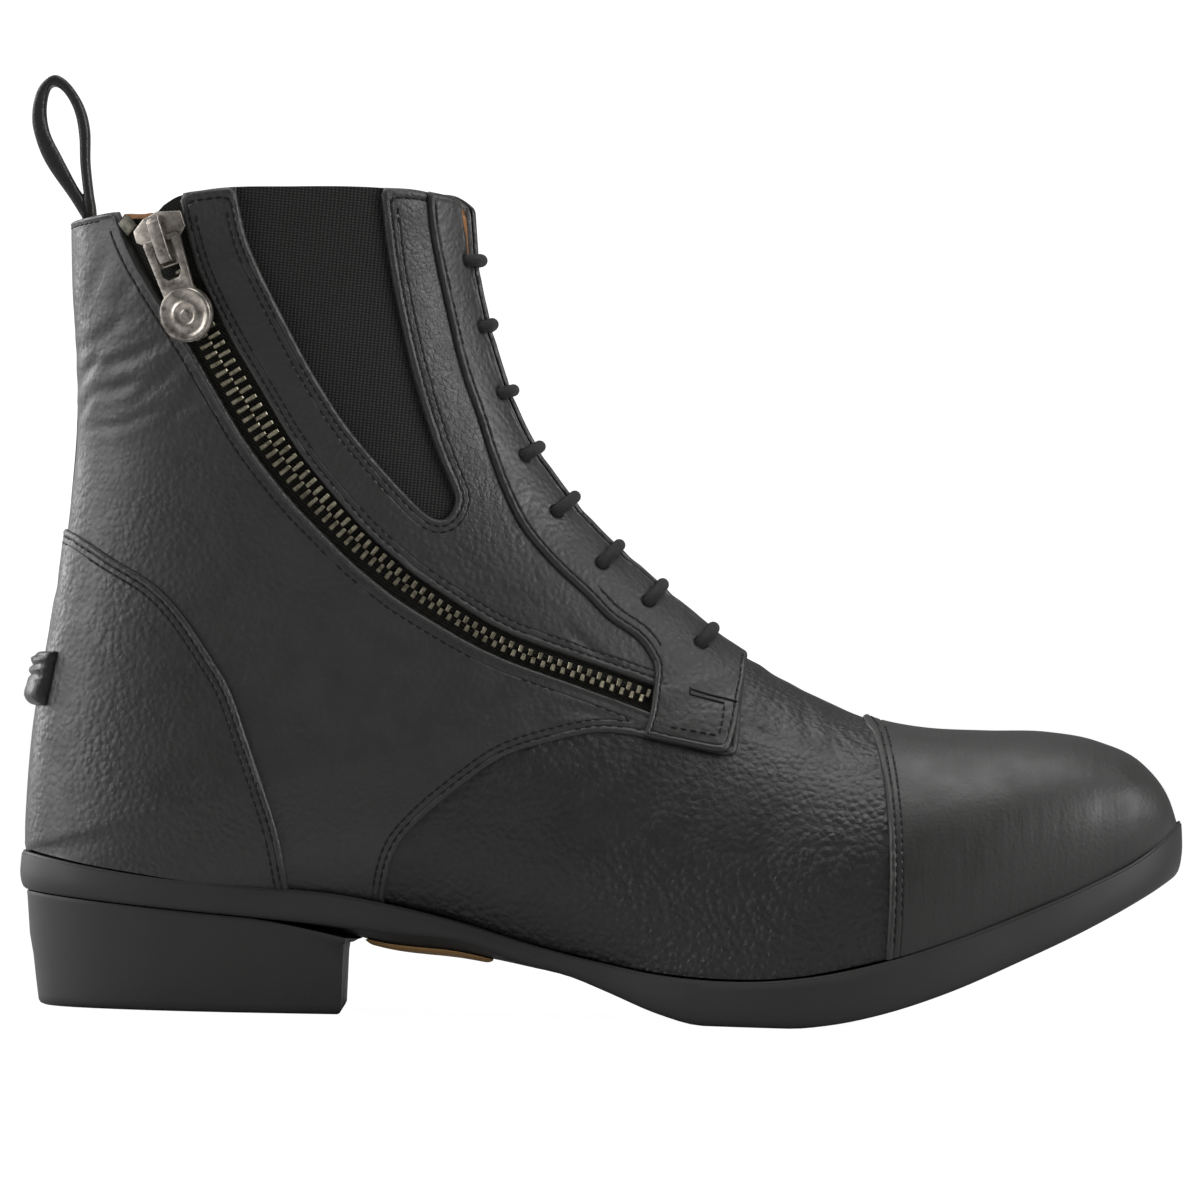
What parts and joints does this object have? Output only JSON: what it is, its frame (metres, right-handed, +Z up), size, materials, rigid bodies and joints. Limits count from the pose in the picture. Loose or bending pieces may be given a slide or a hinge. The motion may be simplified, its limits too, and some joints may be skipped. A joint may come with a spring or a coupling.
{
  "type": "paddock boot",
  "caption": "Black leather lace-up paddock boot with diagonal inner zip, elastic side gussets, toe cap, heel counter, spur rest, pull loop and block-heeled rubber sole.",
  "frame": {"origin": "on the floor under the middle of the boot's box, level with the bottom of the heel and of the forefoot", "axes": "+X to the toe, +Y to the outer side of the left foot, +Z up"},
  "size_m": [0.2988, 0.1042, 0.238],
  "materials": {
    "leather": "black grain leather with a soft satin gloss",
    "rubber": "matt black moulded rubber",
    "elastic": "black ribbed elastic webbing",
    "tape": "black woven zip tape",
    "teeth_metal": "dark antique brass teeth",
    "slider_metal": "antique silver, worn bright on the edges",
    "tan_leather": "natural tan leather",
    "lining": "soft tan lining leather",
    "lace_cord": "black round waxed cord"
  },
  "bodies": {
    "boot": {"outsole": "rubber", "heel": "rubber", "waist_panel": "tan_leather", "insole": "lining", "upper": "leather", "tongue": "lining", "toe_cap": "leather", "heel_counter": "leather", "facing_inner": "leather", "facing_outer": "leather", "gusset_inner": "elastic", "gusset_outer": "elastic", "spur_rest": "leather", "pull_loop": "leather", "zip_tape": "tape", "zip_teeth": "teeth_metal", "zip_stop": "slider_metal", "zip_slider": "slider_metal", "lace_1": "lace_cord", "lace_2": "lace_cord", "lace_3": "lace_cord", "lace_4": "lace_cord", "lace_5": "lace_cord", "lace_6": "lace_cord", "lace_7": "lace_cord", "lace_8": "lace_cord"},
    "zip_pull": {"zip_puller": "slider_metal"}
  },
  "joints": [
    {"name": "zip_pull_hinge", "type": "hinge", "parent": "boot", "child": "zip_pull", "pos_m": [-0.11464, -0.03282, 0.19529], "axis": [-0.885, 0.3288, -0.3296], "range_deg": [0, 150]}
  ]
}
